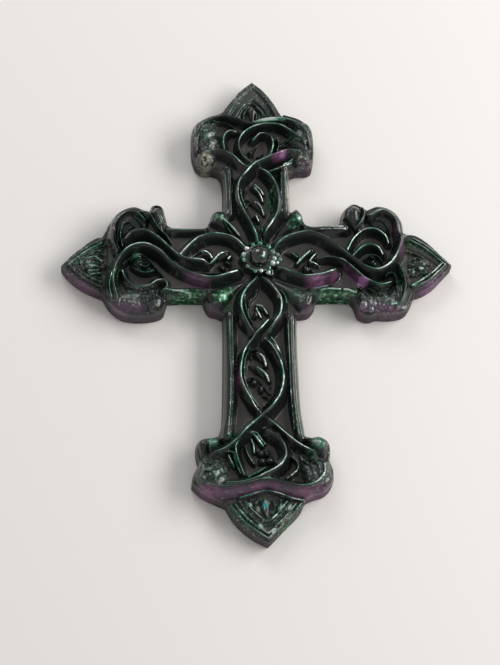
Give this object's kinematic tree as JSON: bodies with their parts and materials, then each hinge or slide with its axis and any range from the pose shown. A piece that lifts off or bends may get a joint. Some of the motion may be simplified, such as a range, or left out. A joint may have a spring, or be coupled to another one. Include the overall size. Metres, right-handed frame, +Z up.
{
  "type": "celtic wall cross",
  "caption": "Cast resin wall cross with woven knotwork strands, a domed boss at the crossing, scrolled capitals and pointed ends.",
  "frame": {"origin": "on the flat back that lies against the wall, behind the boss at the crossing", "axes": "+Z up the cross, +X to the viewer's right, -Y towards the viewer; the back faces +Y, into the wall"},
  "size_m": [0.1605, 0.0186, 0.2024],
  "materials": {
    "dark_resin": "near-black glossy cast resin with a green to purple colour-shift pigment on the raised work, satin in the sunk ground"
  },
  "bodies": {
    "root": {"cross_casting": "dark_resin"}
  },
  "joints": []
}
